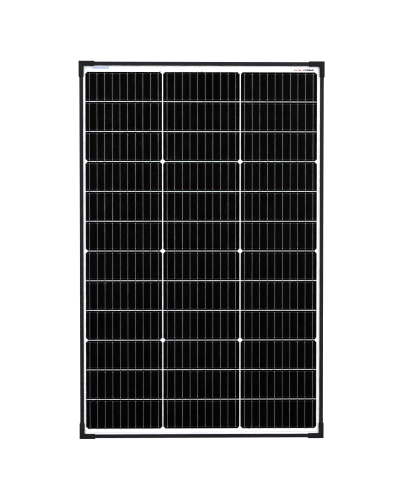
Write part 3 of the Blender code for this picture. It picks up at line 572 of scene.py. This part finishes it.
def add_ribbon(ribbons, dots, x, face, bottom, top, row, down, slip):
    """One ribbon length: it starts inside one edge of a cell and dips behind the next cell."""
    half = RIBBON_WIDTH / 2
    shoulder = face - 0.6 * RIBBON_THICKNESS
    crest = face - RIBBON_THICKNESS
    profile = [
        (x + half, face),
        (x - half, face),
        (x - half, shoulder),
        (x - 0.5 * half, crest),
        (x + 0.5 * half, crest),
        (x + half, shoulder),
    ]
    start, end = (top, bottom) if down else (bottom, top)
    ahead = -1 if down else 1
    last_row = row == (ROWS - 1 if down else 0)
    tip = start + ahead * (RIBBON_TIP + slip)
    stations = [(0.0, tip), (0.0, end - ahead * RIBBON_BEND)]
    if last_row:
        stations.append((0.0, end + ahead * RIBBON_LAST_OVERRUN))
    else:
        stations += [
            (0.08 * MM, end + ahead * 0.25 * ROW_GAP),
            (0.28 * MM, end + ahead * 0.75 * ROW_GAP),
            (RIBBON_BEHIND, end + ahead * (ROW_GAP + RIBBON_BEND)),
            (RIBBON_BEHIND, end + ahead * (ROW_GAP + RIBBON_UNDERLAP)),
        ]
    if down:
        stations = stations[::-1]
    add_sweep(ribbons, profile, stations)
    for edge, inwards, inside, radius in (
        (start, ahead, 5.0 * MM, 0.7 * MM),
        (end, -ahead, 5.2 * MM, 0.55 * MM),
    ):
        z = edge + inwards * (inside + slip)
        add_blob(dots, (x, face - DOT_SUNK, z), (radius, DOT_HEIGHT, DOT_HALF_LENGTH))


def box_mesh(low, high):
    """A closed box between two corners."""
    mesh = bmesh.new()
    add_bar(mesh, low[0], high[0], low[2], high[2], low[1], high[1])
    return mesh


def block_piece(name, low, high, paint):
    """A plain box as a piece of the panel."""
    return piece(name, box_mesh(low, high), paint)


def build_pane():
    """The glass with the front film bonded to it: one clear pane with seamed edges."""
    low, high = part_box("front_glass")
    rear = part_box("front_encapsulant")[1].y
    mesh = bmesh.new()
    cut = 1.5 * MM
    add_plate(mesh, chamfered(low.x, high.x, low.z, high.z, cut, cut), low.y, rear)
    rim = [edge for edge in mesh.edges if edge.calc_face_angle() > math.radians(60)]
    bmesh.ops.bevel(mesh, geom=rim, offset=0.4 * MM, segments=2, affect="EDGES", profile=0.5)
    pane = piece("front_pane", mesh, "glass", smooth=True)
    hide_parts("front_glass", "front_encapsulant")


def build_prints():
    """The serial strip's line, painted shade lines along the cover strips' edges, and a plain mark of
    slanted bars.
    """
    low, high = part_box("serial_label")
    middle = low.z + 0.62 * (high.z - low.z)
    block_piece(
        "serial_line",
        (low.x + 2.5 * MM, low.y - 0.01 * MM, middle - 0.3 * MM),
        (high.x - 1.5 * MM, low.y, middle + 0.3 * MM),
        "serial_line",
    )
    # Each cover strip's edge gets a thin grey strip that stands for the shade at its step: painted shade.
    for end, edge in (("top", 1), ("bottom", 0)):
        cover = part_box(f"bus_cover_{end}")
        z = cover[edge].z
        block_piece(
            f"cover_edge_shade_{end}",
            (cover[0].x, cover[0].y - 0.01 * MM, z - 0.25 * MM),
            (cover[1].x, cover[0].y, z + 0.25 * MM),
            "cover_edge_shade",
        )
    low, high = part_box("front_mark")
    red, dark = bmesh.new(), bmesh.new()
    bars, red_bars = 16, 9
    pitch = (high.x - low.x) / bars
    slant = 0.25 * (high.z - low.z)
    for i in range(bars):
        mesh = red if i < red_bars else dark
        x = low.x + i * pitch
        share = (0.6, 0.8, 0.5)[i % 3] if i < red_bars else (0.95, 0.8)[i % 2]
        reach = 0.8 if i % 2 else 1.0
        top = low.z + reach * (high.z - low.z)
        loop = [
            (x, low.z),
            (x + share * pitch, low.z),
            (x + share * pitch + slant, top),
            (x + slant, top),
        ]
        add_plate(mesh, loop, low.y, high.y)
    mark = piece("front_mark_dark", dark, "mark_dark")
    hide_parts("front_mark")
    piece("front_mark_red", red, "mark_red")


# ---- Guards, junction box and back ----


def body_of(mesh):
    """A loose working object for a bmesh; finished() turns it back into a bmesh."""
    data = bpy.data.meshes.new("part")
    bmesh.ops.recalc_face_normals(mesh, faces=mesh.faces)
    mesh.to_mesh(data)
    mesh.free()
    thing = bpy.data.objects.new("part", data)
    bpy.context.scene.collection.objects.link(thing)
    return thing


def combine(target, operation, *others):
    """Cut, join or intersect a working object with others, one after another."""
    for other in others:
        step = target.modifiers.new(operation, "BOOLEAN")
        step.operation = operation
        step.solver = "EXACT"
        step.object = other


def finished(thing, *helpers):
    """The bmesh of a working object with its modifiers applied; the helpers go with it."""
    bpy.context.view_layer.update()
    evaluated = thing.evaluated_get(bpy.context.evaluated_depsgraph_get())
    data = bpy.data.meshes.new_from_object(evaluated)
    mesh = bmesh.new()
    mesh.from_mesh(data)
    for old in (thing, *helpers):
        bpy.data.objects.remove(old, do_unlink=True)
    bpy.data.meshes.remove(data)
    return mesh


def round_edges(mesh, width, segments, angle=30):
    """Round every edge of a bmesh whose faces meet at more than an angle in degrees."""
    shared = [edge for edge in mesh.edges if len(edge.link_faces) == 2]
    sharp = [edge for edge in shared if edge.calc_face_angle() > math.radians(angle)]
    bmesh.ops.bevel(mesh, geom=sharp, offset=width, segments=segments, affect="EDGES", profile=0.5,
                    clamp_overlap=True)


GUARD_WIDTH = 12.4 * MM
GUARD_WALL = 1.6 * MM
GUARD_TAPER = 1.8 * MM
GUARD_DROP = 0.55 * MM


def guard_shell(reach, depth):
    """The L of a corner guard: arms that taper at their tips, from its outer corner."""
    mesh = bmesh.new()
    near, wide, taper = 0.0, GUARD_WIDTH, reach - GUARD_TAPER
    tip_low, tip_high = GUARD_DROP, GUARD_WIDTH - GUARD_DROP
    layers = []
    for y, inward in ((0.0, 1), (depth, -1)):
        tip_y = y + inward * GUARD_DROP
        spots = {
            "a": (near, near, y),
            "b": (wide, near, y),
            "c": (wide, wide, y),
            "d": (near, wide, y),
            "e": (taper, near, y),
            "f": (taper, wide, y),
            "g": (near, taper, y),
            "h": (wide, taper, y),
            "i": (reach, tip_low, tip_y),
            "j": (reach, tip_high, tip_y),
            "k": (tip_low, reach, tip_y),
            "l": (tip_high, reach, tip_y),
        }
        layers.append({key: mesh.verts.new((u, w, v)) for key, (u, v, w) in spots.items()})
    front, rear = layers
    for face in ("abcd", "befc", "dchg", "eijf", "ghlk"):
        mesh.faces.new([front[k] for k in face])
        mesh.faces.new([rear[k] for k in reversed(face)])
    rim = "abeijfchlkgd"
    for first, second in zip(rim, rim[1:] + rim[0]):
        mesh.faces.new((front[second], front[first], rear[first], rear[second]))
    return mesh


def build_guards():
    """Corner guards with rounded edges and tapered tips."""
    for upright, sign_z in (("top", 1), ("bottom", -1)):
        for across, sign_x in (("left", -1), ("right", 1)):
            name = f"corner_guard_{upright}_{across}"
            low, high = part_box(name)
            reach, depth = high.x - low.x, high.y - low.y
            mesh = guard_shell(reach, depth)
            bmesh.ops.recalc_face_normals(mesh, faces=mesh.faces)
            round_edges(mesh, 1.0 * MM, 3)
            shell = body_of(mesh)
            room = body_of(box_mesh((GUARD_WALL,) * 3, (2 * reach, depth - GUARD_WALL, 2 * reach)))
            combine(shell, "DIFFERENCE", room)
            mesh = finished(shell, room)
            corner = Vector((high.x if sign_x > 0 else low.x, low.y, high.z if sign_z > 0 else low.z))
            turn = Matrix.Diagonal((-sign_x, 1, -sign_z, 1))
            bmesh.ops.transform(mesh, matrix=Matrix.Translation(corner) @ turn, verts=mesh.verts)
            bmesh.ops.recalc_face_normals(mesh, faces=mesh.faces)
            guard = piece(f"guard_{upright}_{across}", mesh, "guard", smooth=True)
            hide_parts(name)


def rounded_loop(left, right, bottom, top, radius, steps=6):
    """A rounded rectangle of (x, z) points."""
    loop = []
    for x, z, start in (
        (right - radius, top - radius, 0),
        (left + radius, top - radius, 90),
        (left + radius, bottom + radius, 180),
        (right - radius, bottom + radius, 270),
    ):
        for i in range(steps + 1):
            turn = math.radians(start + 90 * i / steps)
            loop.append((x + radius * math.cos(turn), z + radius * math.sin(turn)))
    return loop


def build_lid_panel():
    """A raised panel and stiffening ribs moulded on the junction box's lid."""
    low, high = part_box("jbox_lid_gasket")
    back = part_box("jbox_lid")[1].y
    left, right, bottom, top = low.x, high.x, low.z, high.z
    mesh = bmesh.new()
    inset = 9 * MM
    corner_radius = 5 * MM
    add_plate(
        mesh,
        rounded_loop(left + inset, right - inset, bottom + inset, top - inset, corner_radius),
        back - 0.4 * MM,
        back + 0.5 * MM,
    )
    round_edges(mesh, 0.35 * MM, 3, 60)
    piece("lid_panel", mesh, "box", "jbox_cover", smooth=True)
    ribs = bmesh.new()
    rib_count = 7
    rib_pitch = 7 * MM
    lowest = bottom + 24 * MM
    rib_left, rib_right = left + 22 * MM, right - 22 * MM
    rib_half = 0.8 * MM
    end_radius = 0.75 * MM
    for i in range(rib_count):
        z = lowest + rib_pitch * i
        rib = bmesh.new()
        add_plate(
            rib,
            rounded_loop(rib_left, rib_right, z - rib_half, z + rib_half, end_radius, 3),
            back + 0.3 * MM,
            back + 1.2 * MM,
        )
        round_edges(rib, 0.25 * MM, 2, 60)
        data = bpy.data.meshes.new("rib")
        rib.to_mesh(data)
        rib.free()
        ribs.from_mesh(data)
        bpy.data.meshes.remove(data)
    piece("lid_ribs", ribs, "box", "jbox_cover", smooth=True)


TURNED_SIDES = 48


def turned_mesh(profile, start=0.0):
    """A closed ring about Z from a closed profile of (radius, z); it starts at an angle."""
    mesh = bmesh.new()
    rings = []
    for i in range(TURNED_SIDES):
        turn = start + 2 * math.pi * i / TURNED_SIDES
        rings.append([mesh.verts.new((r * math.cos(turn), r * math.sin(turn), z)) for r, z in profile])
    count = len(profile)
    for i, ring in enumerate(rings):
        after = rings[(i + 1) % TURNED_SIDES]
        for j in range(count):
            k = (j + 1) % count
            mesh.faces.new((ring[j], after[j], after[k], ring[k]))
    bmesh.ops.recalc_face_normals(mesh, faces=mesh.faces)
    return mesh


def build_nut(side):
    """A gland nut: a chamfered hexagon that runs into a fluted dome with a cable hole."""
    low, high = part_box(f"gland_nut_{side}")
    middle, top, bottom = (low + high) / 2, high.z, low.z
    flats = (high.y - low.y) / 2
    corner = flats / math.cos(math.radians(30))
    hex_height = 7.2 * MM
    hex_low = top - hex_height
    hexagon = bmesh.new()
    rims = []
    for z in (top, hex_low):
        turns = [math.radians(60 * i) for i in range(6)]
        rims.append([hexagon.verts.new((corner * math.cos(t), corner * math.sin(t), z)) for t in turns])
    hexagon.faces.new(rims[0])
    hexagon.faces.new(rims[1][::-1])
    for i in range(6):
        j = (i + 1) % 6
        hexagon.faces.new((rims[0][j], rims[0][i], rims[1][i], rims[1][j]))
    nut = body_of(hexagon)
    bore = 6.2 * MM
    chamfer = 1.1 * MM
    beyond = 0.9 * MM
    rim = flats - 0.2 * MM
    widest = corner + 0.02 * MM
    narrowest = rim - beyond * (widest - rim) / chamfer
    form = body_of(turned_mesh([
        (bore, top + beyond), (narrowest, top + beyond), (widest, top - chamfer),
        (widest, hex_low + chamfer), (narrowest, hex_low - beyond), (bore, hex_low - beyond),
    ]))
    combine(nut, "INTERSECT", form)
    wide = flats - 0.35 * MM
    narrow = 4.8 * MM
    nose_top = bottom + 5.6 * MM
    nose = [
        (narrow + (wide - narrow) * math.cos(math.radians(a)),
         nose_top - (nose_top - bottom) * math.sin(math.radians(a)))
        for a in range(0, 91, 10)
    ]
    floor_z = bottom + 4.6 * MM
    hole = 3.4 * MM
    hole_lip = 0.3 * MM
    dome_bore = 6.6 * MM
    dome_top = hex_low + 1.5 * MM
    profile = [(wide, dome_top)] + nose + [
        (hole + hole_lip, bottom), (hole, bottom + hole_lip), (hole, floor_z),
        (dome_bore, floor_z), (dome_bore, dome_top),
    ]
    # The dome's facets are turned a little off the hexagon's corners, so that the union stays closed
    dome = body_of(turned_mesh(profile, start=math.radians(2)))
    combine(nut, "UNION", dome)
    flutes = []
    flute_count = 12
    flute_radius = 0.55 * MM
    flute_length = 5 * MM
    flute_ring = wide + 0.15 * MM
    flute_z = nose_top - 1.2 * MM
    for i in range(flute_count):
        turn = math.radians(360 / flute_count * (i + 0.5))
        bar = bmesh.new()
        bmesh.ops.create_cone(
            bar, cap_ends=True, segments=12, radius1=flute_radius, radius2=flute_radius, depth=flute_length
        )
        place = Matrix.Translation((flute_ring * math.cos(turn), flute_ring * math.sin(turn), flute_z))
        bmesh.ops.transform(bar, matrix=place, verts=bar.verts)
        flutes.append(body_of(bar))
    combine(nut, "DIFFERENCE", *flutes)
    mesh = finished(nut, form, dome, *flutes)
    bmesh.ops.translate(mesh, vec=(middle.x, middle.y, 0), verts=mesh.verts)
    thing = piece(f"nut_{side}", mesh, "gland", f"nut_{side}", smooth=True)
    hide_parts(f"gland_nut_{side}")


def build_thread(side):
    """The thread on a gland's spigot, hidden until the nut is unscrewed."""
    low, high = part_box(f"gland_nut_{side}")
    middle = (low + high) / 2
    root, crest, pitch = 5.9 * MM, 6.14 * MM, 1.5 * MM
    start = high.z + 0.2 * MM
    foot_half, crest_half = 0.55 * MM, 0.12 * MM
    sides, turns = 32, 5
    thread = bmesh.new()
    rings = []
    for i in range(sides * turns + 1):
        turn = 2 * math.pi * i / sides
        z = start - pitch * i / sides
        fade = min(1.0, i / sides, (sides * turns - i) / sides)
        out = root + (crest - root) * max(fade, 0.05)
        shape = [
            (root, z + foot_half),
            (out, z + crest_half),
            (out, z - crest_half),
            (root, z - foot_half),
        ]
        rings.append([
            thread.verts.new((middle.x + r * math.cos(turn), middle.y + r * math.sin(turn), h))
            for r, h in shape
        ])
    for before, after in zip(rings, rings[1:]):
        for j in range(4):
            k = (j + 1) % 4
            thread.faces.new((before[j], after[j], after[k], before[k]))
    thread.faces.new(rings[0])
    thread.faces.new(rings[-1][::-1])
    bmesh.ops.recalc_face_normals(thread, faces=thread.faces)
    piece(f"gland_thread_{side}", thread, "gland", smooth=True)


def build_sealant():
    """The bead of sealant squeezed out round the junction box's foot."""
    random.seed(7)
    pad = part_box("jbox_adhesive")
    sheet_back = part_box("backsheet")[1].y
    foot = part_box("jbox_base")[0].y
    out = 3 * MM
    corner_radius = 5 * MM
    step = 2.5 * MM
    bead_width = 1.3 * MM
    rise = foot + 0.5 * MM - sheet_back
    loop = rounded_loop(
        pad[0].x - out, pad[1].x + out, pad[0].z - out, pad[1].z + out, corner_radius, 8
    )
    dense = []
    for i, (x, z) in enumerate(loop):
        nx, nz = loop[(i + 1) % len(loop)]
        count = max(1, int(math.hypot(nx - x, nz - z) / step))
        dense += [(x + (nx - x) * k / count, z + (nz - z) * k / count) for k in range(count)]
    centre_x, centre_z = (pad[0].x + pad[1].x) / 2, (pad[0].z + pad[1].z) / 2
    bead = bmesh.new()
    rings = []
    for i, (x, z) in enumerate(dense):
        px, pz = dense[i - 1]
        nx, nz = dense[(i + 1) % len(dense)]
        along = Vector((nx - px, nz - pz)).normalized()
        side = Vector((along.y, -along.x))
        if side.dot(Vector((x - centre_x, z - centre_z))) < 0:
            side = -side
        swell = 1 + 0.18 * math.sin(i * 0.7) + random.uniform(-0.12, 0.12)
        ring = []
        for turn in range(0, 181, 30):
            spread = bead_width * swell * math.sin(math.radians(turn))
            lift = rise * (1 - math.cos(math.radians(turn))) / 2
            ring.append(bead.verts.new((x + side.x * spread, sheet_back + lift, z + side.y * spread)))
        rings.append(ring)
    for i, ring in enumerate(rings):
        after = rings[(i + 1) % len(rings)]
        for j in range(len(ring)):
            k = (j + 1) % len(ring)
            bead.faces.new((ring[j], after[j], after[k], ring[k]))
    bmesh.ops.recalc_face_normals(bead, faces=bead.faces)
    piece("box_sealant", bead, "sealant", smooth=True)


def build_label_rules():
    """Plain ruled lines on the back's blank label: a frame, rows and one column line."""
    low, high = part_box("rating_label")
    back = high.y
    rules = bmesh.new()
    thin = 0.35 * MM
    inset = 5 * MM
    left, right = low.x + inset, high.x - inset
    bottom, top = low.z + inset, high.z - inset
    rows = 9
    for i in range(rows + 1):
        z = bottom + (top - bottom) * i / rows
        weight = thin if 0 < i < rows else 2 * thin
        half = weight / 2
        add_bar(rules, left, right, z - half, z + half, back - 0.01 * MM, back + 0.02 * MM)
    for x, weight in ((left, 2 * thin), (left + 0.55 * (right - left), thin), (right, 2 * thin)):
        half = weight / 2
        add_bar(rules, x - half, x + half, bottom, top, back - 0.012 * MM, back + 0.022 * MM)
    piece("label_rules", rules, "mark_dark")


paint_nodes()
build_strings()
build_pane()
build_prints()
build_guards()
build_lid_panel()
for gland_side in ("left", "right"):
    build_nut(gland_side)
    build_thread(gland_side)
build_sealant()
build_label_rules()


# ---- Studio ----

FLOOR_Z = CAD_BOX[0][2] - 0.2 * MM
CAMERA_DISTANCE = 1.918
CAMERA_AZIMUTH = math.radians(0.856)
CAMERA_ELEVATION = math.radians(1.103)
CAMERA_TARGET = Vector((-0.6 * MM, 0, 1.2 * MM))
CAMERA_LENS = 57.6
FLOOR_REACH = 6

# Name, place, size in metres, power in watts, and whether reflections show it
LIGHTS = (
    ("key_left", (-1.9, -3.6, 0.8), (1.3, 2.6), 57, True),
    ("key_right", (1.9, -3.6, 0.8), (1.3, 2.6), 64, True),
    ("top", (0, -1.6, 2.6), (2.2, 1.0), 25, False),
    ("front_fill", (0, -3.4, 0.4), (1.6, 1.6), 68, False),
    ("rear_left", (-1.9, 3.2, 1.2), (1.4, 2.0), 68, True),
    ("rear_right", (2.1, 2.8, 0.9), (1.2, 2.0), 52, True),
    ("side_left", (-2.4, 0.15, 0.3), (0.8, 2.0), 70, True),
    ("side_right", (2.4, 0.15, 0.3), (0.8, 2.0), 70, True),
    ("above", (0, 0.15, 2.5), (1.8, 0.6), 60, True),
)


def look_at(thing, target):
    """Turn a lamp or camera to face a point."""
    aim = Vector(target) - thing.location
    thing.rotation_euler = aim.to_track_quat("-Z", "Y").to_euler()


def softbox(name, place, size, power, reflected):
    """A white rectangular lamp that faces the middle of the panel."""
    light = bpy.data.lights.new(name, "AREA")
    light.shape = "RECTANGLE"
    light.size, light.size_y = size
    light.energy = power
    lamp = bpy.data.objects.new(name, light)
    lamp.location = place
    lamp.visible_glossy = reflected
    look_at(lamp, (0, 0, 0))
    bpy.context.scene.collection.objects.link(lamp)


def build_floor():
    """A pale floor that glows a little brighter far out, and is clear from underneath."""
    mesh = bmesh.new()
    for x, y in ((-1, -1), (1, -1), (1, 1), (-1, 1)):
        mesh.verts.new((x * FLOOR_REACH, y * FLOOR_REACH, FLOOR_Z))
    mesh.faces.new(list(mesh.verts))
    data = bpy.data.meshes.new("floor")
    mesh.to_mesh(data)
    mesh.free()
    floor = bpy.data.objects.new("floor", data)
    bpy.context.scene.collection.objects.link(floor)
    paint = Paint("floor_white", (0.1, 0.1, 0.1), 0.8)
    distance = paint.add("ShaderNodeVectorMath", operation="LENGTH")
    paint.join(paint.place, distance.inputs[0])
    glow = paint.add("ShaderNodeEmission")
    paint.join(paint.spread(distance.outputs["Value"], 0.94, 1.0, 0.5, 1.6), glow.inputs["Strength"])
    both = paint.add("ShaderNodeAddShader")
    paint.join(paint.shader.outputs["BSDF"], both.inputs[0])
    paint.join(glow.outputs["Emission"], both.inputs[1])
    clear = paint.add("ShaderNodeBsdfTransparent")
    underside = paint.add("ShaderNodeNewGeometry")
    sided = paint.add("ShaderNodeMixShader")
    paint.join(underside.outputs["Backfacing"], sided.inputs["Fac"])
    paint.join(both.outputs["Shader"], sided.inputs[1])
    paint.join(clear.outputs["BSDF"], sided.inputs[2])
    paint.join(sided.outputs["Shader"], paint.output.inputs["Surface"])
    data.materials.append(paint.material)
    floor.visible_glossy = False
    floor.visible_diffuse = False


def build_world():
    """White where the camera looks past the panel, and a dim room in its reflections."""
    world = bpy.data.worlds.new("studio")
    world.use_nodes = True
    tree = world.node_tree
    tree.nodes.clear()
    output = tree.nodes.new("ShaderNodeOutputWorld")
    white = tree.nodes.new("ShaderNodeBackground")
    white.inputs["Color"].default_value = (1, 1, 1, 1)
    white.inputs["Strength"].default_value = 1.05
    room = tree.nodes.new("ShaderNodeBackground")
    room.inputs["Strength"].default_value = 1.0
    direction = tree.nodes.new("ShaderNodeTexCoord")
    split = tree.nodes.new("ShaderNodeSeparateXYZ")
    fade = tree.nodes.new("ShaderNodeMapRange")
    fade.inputs["From Min"].default_value = -0.3
    fade.inputs["From Max"].default_value = 0.3
    fade.inputs["To Min"].default_value = 0.03
    fade.inputs["To Max"].default_value = 0.08
    path = tree.nodes.new("ShaderNodeLightPath")
    mix = tree.nodes.new("ShaderNodeMixShader")
    link = tree.links.new
    link(direction.outputs["Generated"], split.inputs["Vector"])
    link(split.outputs["Z"], fade.inputs["Value"])
    link(fade.outputs["Result"], room.inputs["Color"])
    link(path.outputs["Is Camera Ray"], mix.inputs["Fac"])
    link(room.outputs["Background"], mix.inputs[1])
    link(white.outputs["Background"], mix.inputs[2])
    link(mix.outputs["Shader"], output.inputs["Surface"])
    bpy.context.scene.world = world


def build_studio():
    """The lamps and the camera."""
    for light in LIGHTS:
        softbox(*light)
    lens = bpy.data.cameras.new("camera")
    lens.lens = CAMERA_LENS
    lens.sensor_width = 36
    lens.sensor_fit = "AUTO"
    camera = bpy.data.objects.new("camera", lens)
    flat = math.cos(CAMERA_ELEVATION)
    camera.location = CAMERA_DISTANCE * Vector(
        (
            -math.sin(CAMERA_AZIMUTH) * flat,
            -math.cos(CAMERA_AZIMUTH) * flat,
            math.sin(CAMERA_ELEVATION),
        )
    )
    look_at(camera, CAMERA_TARGET)
    bpy.context.scene.collection.objects.link(camera)
    bpy.context.scene.camera = camera
    bpy.context.scene.view_settings.view_transform = "Standard"
    bpy.context.scene.cycles.filter_width = 1.0


build_floor()
build_world()
build_studio()
